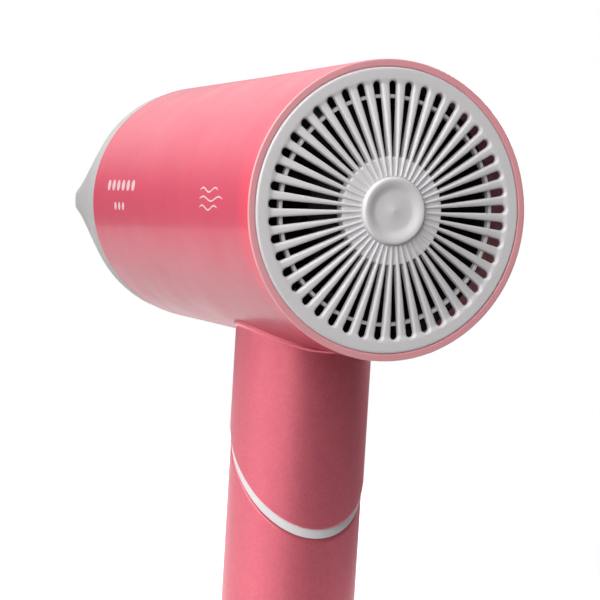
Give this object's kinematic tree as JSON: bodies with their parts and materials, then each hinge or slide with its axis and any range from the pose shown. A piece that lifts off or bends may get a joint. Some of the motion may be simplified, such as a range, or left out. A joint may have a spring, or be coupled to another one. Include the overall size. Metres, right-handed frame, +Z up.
{
  "type": "travel hair dryer",
  "caption": "Folding hair dryer: round barrel with a slotted rear grille, flat-mouthed nozzle, and a grip that twists about a slanted swivel.",
  "frame": {"origin": "centre of the barrel's front rim, on the barrel's axis", "axes": "+X along the barrel axis towards the nozzle, the way the air leaves; +Y to the left; +Z up; the grip hangs down"},
  "size_m": [0.1755, 0.072, 0.2154],
  "materials": {
    "barrel_paint": "gloss pink lacquer over moulded plastic",
    "grip_paint": "pearl pink lacquer with a fine metallic flake",
    "white_plastic": "satin white moulded plastic",
    "nozzle_plastic": "satin pale grey heat-resistant plastic",
    "dark_plastic": "moulded dark plastic",
    "heat_plastic": "glass-filled heat-resistant plastic",
    "mica": "pressed mica sheet",
    "heater_wire": "drawn resistance wire",
    "steel": "bright steel",
    "zinc_steel": "zinc-plated steel",
    "magnet": "sintered ferrite",
    "bronze": "sintered bronze",
    "copper_core": "laminated core with copper windings",
    "rubber": "soft moulded rubber",
    "circuit_green": "coated circuit board",
    "component_black": "moulded black component case",
    "capacitor_yellow": "moulded film capacitor case",
    "wire_insulation": "silicone wire insulation"
  },
  "bodies": {
    "barrel": {"barrel_shell": "barrel_paint", "neck_shell": "grip_paint", "swivel_ring": "white_plastic", "swivel_tube": "steel", "swivel_washer": "steel", "swivel_clip": "steel", "stop_pin": "steel", "rear_grille": "white_plastic", "grille_cap": "white_plastic", "fan_duct": "dark_plastic", "motor_sleeve": "rubber", "motor_can": "zinc_steel", "motor_end_cap": "dark_plastic", "motor_bushes": "bronze", "motor_magnets": "magnet", "mica_board_upright": "mica", "mica_board_flat": "mica", "heater_coil_rear": "heater_wire", "heater_coil_front": "heater_wire", "mica_sleeve": "mica", "thermostat": "steel", "thermal_fuse": "steel", "outlet_ring": "heat_plastic", "outlet_grille": "heat_plastic", "terminal_block": "dark_plastic", "barrel_leads": "wire_insulation"},
    "fan": {"fan_impeller": "dark_plastic", "motor_shaft": "steel", "motor_armature": "copper_core"},
    "nozzle_clip": {"nozzle_snap_ring": "steel"},
    "nozzle": {"concentrator_nozzle": "nozzle_plastic"},
    "grip": {"grip_shell": "grip_paint", "switch_cover": "white_plastic", "cover_screws": "zinc_steel", "circuit_board": "circuit_green", "slide_switch": "component_black", "cool_switch": "component_black", "rectifier_diodes": "component_black", "filter_capacitor": "capacitor_yellow", "end_cap": "grip_paint", "cord_gland": "white_plastic", "grip_leads": "wire_insulation"},
    "selector": {"selector_knob": "white_plastic"},
    "cool_shot": {"cool_button": "white_plastic"}
  },
  "joints": [
    {"name": "grip_fold", "type": "hinge", "parent": "barrel", "child": "grip", "pos_m": [-0.09, 0, -0.0662], "axis": [0.7071, 0, -0.7071], "range_deg": [0, 180]},
    {"name": "fan_spin", "type": "hinge", "parent": "barrel", "child": "fan", "pos_m": [-0.1135, 0, 0], "axis": [1, 0, 0], "continuous": true},
    {"name": "nozzle_turn", "type": "hinge", "parent": "barrel", "child": "nozzle_clip", "pos_m": [-0.00475, 0, 0], "axis": [1, 0, 0], "continuous": true},
    {"name": "nozzle_pull", "type": "slide", "parent": "nozzle_clip", "child": "nozzle", "axis": [1, 0, 0], "range_m": [0, 0.012]},
    {"name": "selector_slide", "type": "slide", "parent": "grip", "child": "selector", "axis": [0, 0, 1], "range_m": [0, 0.008]},
    {"name": "cool_shot_press", "type": "slide", "parent": "grip", "child": "cool_shot", "axis": [-1, 0, 0], "range_m": [0, 0.0015], "stiffness_N_per_m": 400, "springref_m": -0.002}
  ]
}
